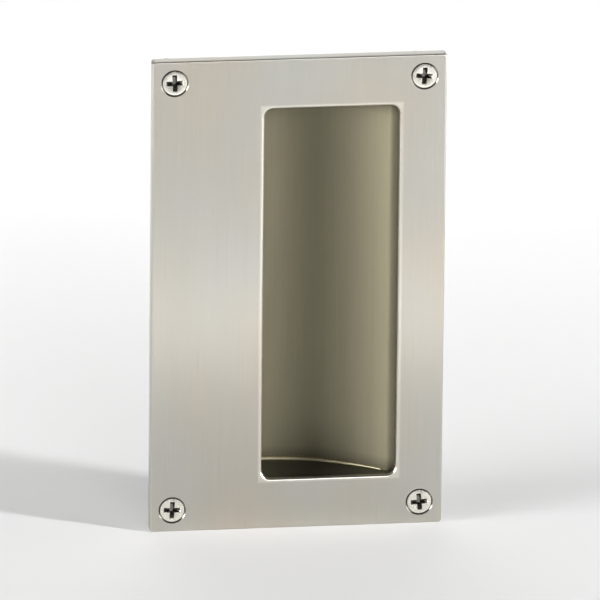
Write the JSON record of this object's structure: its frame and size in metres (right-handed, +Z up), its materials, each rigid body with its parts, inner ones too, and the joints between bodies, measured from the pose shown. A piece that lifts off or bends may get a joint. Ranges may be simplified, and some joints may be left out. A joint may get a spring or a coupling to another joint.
{
  "type": "pocket door pull",
  "caption": "Flush pull for a sliding pocket door: a flat rectangular face plate with an off-centre finger opening, a curved trough behind it and countersunk corner screws.",
  "frame": {"origin": "centre of the face plate's back, which lies against the door", "axes": "+X right, +Z up along the plate's length, +Y out of the plate's back into the door"},
  "size_m": [0.072, 0.0201, 0.12],
  "materials": {
    "plate_stainless": "fine satin stainless steel, brushed upright",
    "trough_stainless": "dull mill-finish stainless sheet, drawn upright",
    "screw_steel": "plain bright stainless steel"
  },
  "bodies": {
    "root": {"face_plate": "plate_stainless", "pocket_trough": "trough_stainless", "upper_end_cap": "trough_stainless", "lower_end_cap": "trough_stainless", "screw_upper_left": "screw_steel", "screw_upper_right": "screw_steel", "screw_lower_left": "screw_steel", "screw_lower_right": "screw_steel"}
  },
  "joints": []
}
